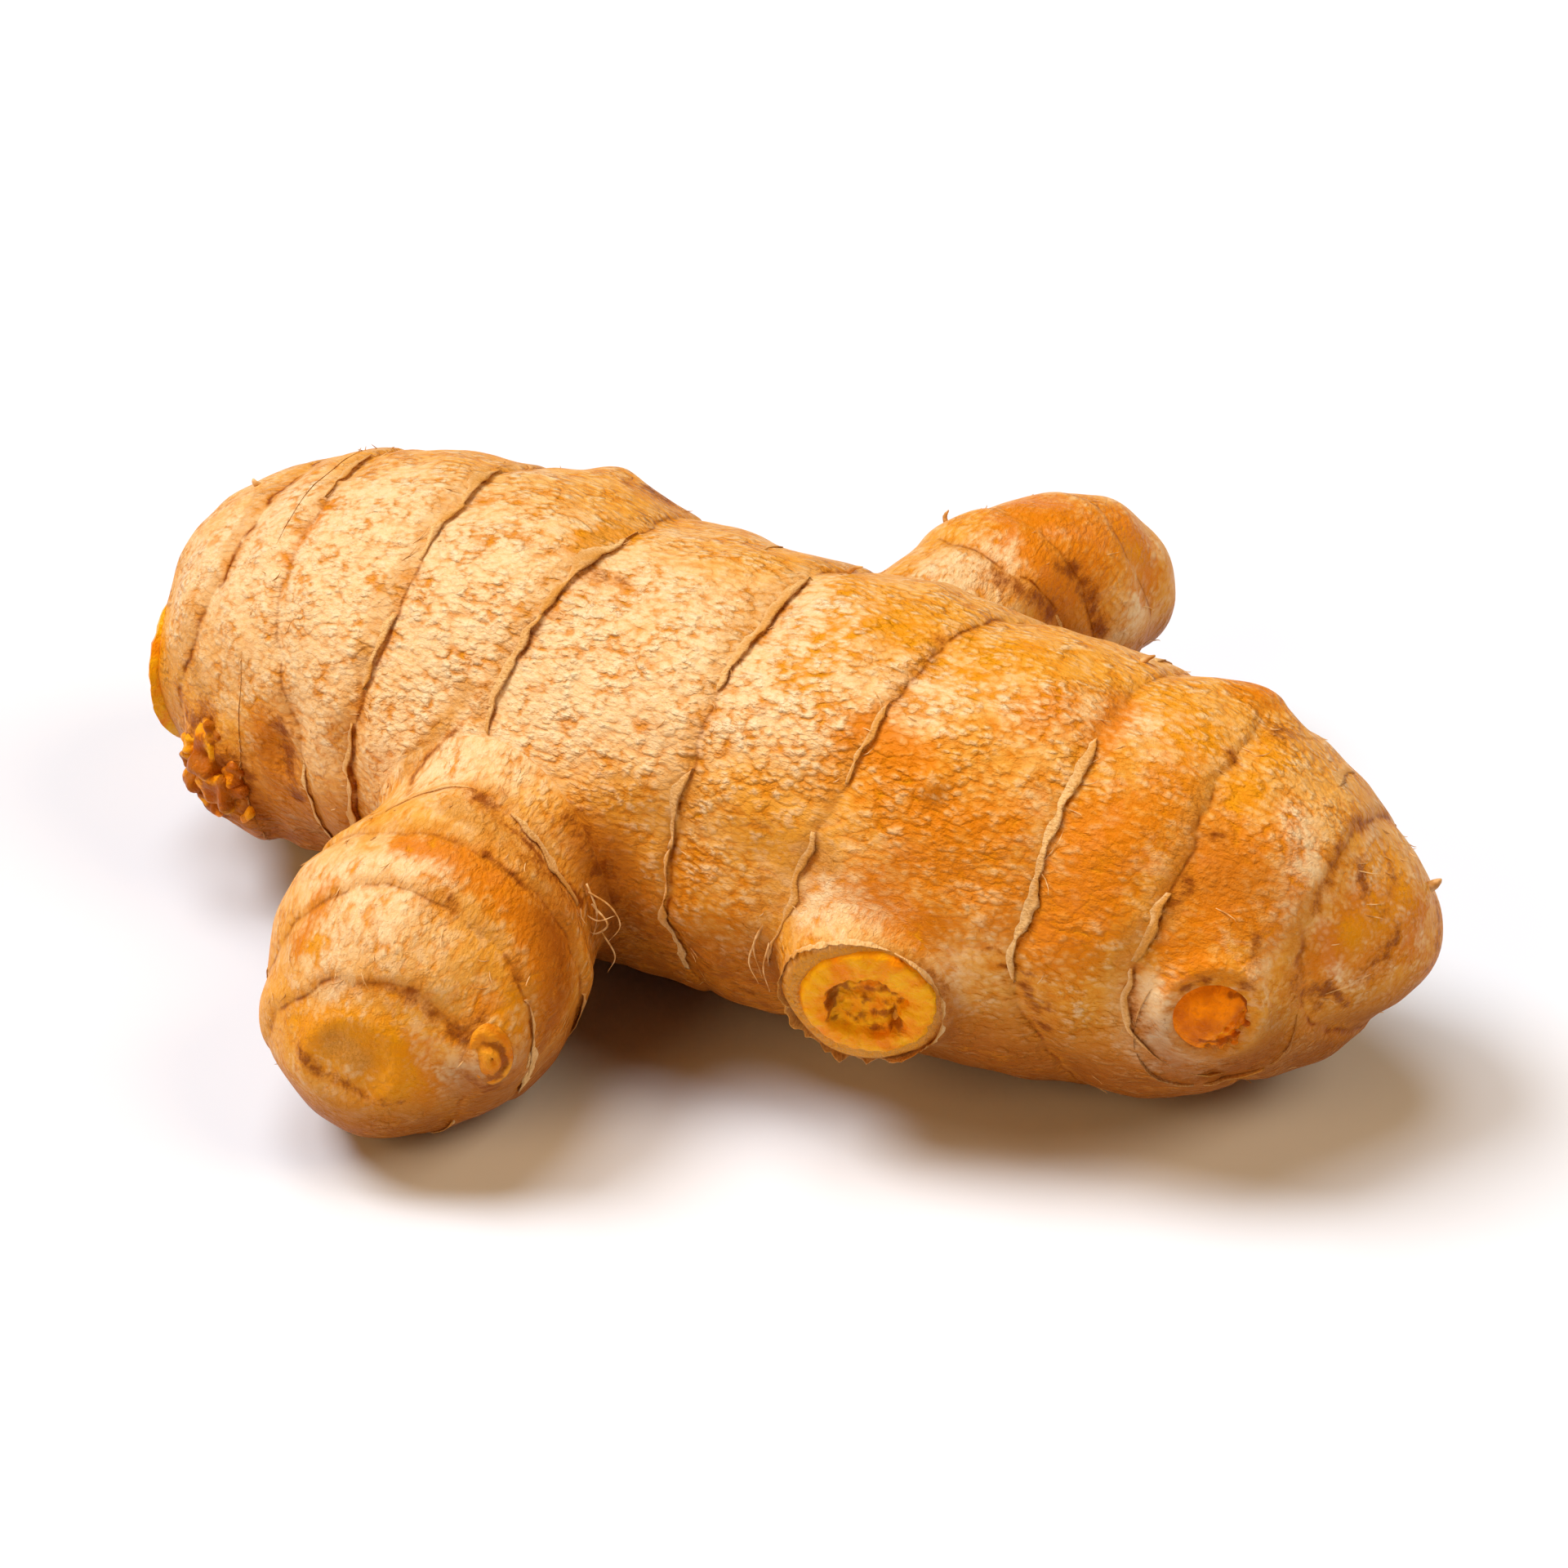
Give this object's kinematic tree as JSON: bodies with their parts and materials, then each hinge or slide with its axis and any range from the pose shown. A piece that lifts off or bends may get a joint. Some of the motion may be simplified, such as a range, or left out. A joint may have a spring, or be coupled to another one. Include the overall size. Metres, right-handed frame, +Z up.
{
  "type": "turmeric root",
  "caption": "Fresh turmeric rhizome lying on its side: a ringed, tapering body with side fingers, broken stubs, a round scar and buds.",
  "frame": {"origin": "middle of the bounding box's underside, on the surface that the rhizome lies on", "axes": "+X along the body from its broken end to its growing tip, +Z up, -Y towards the thick finger at the front"},
  "size_m": [0.081, 0.0658, 0.0274],
  "materials": {
    "skin": "matt, dry, finely wrinkled skin",
    "flesh": "moist, fibrous broken flesh",
    "leaf_base": "dry, papery remains of leaf bases"
  },
  "bodies": {
    "root": {"rhizome": "skin"}
  },
  "joints": []
}
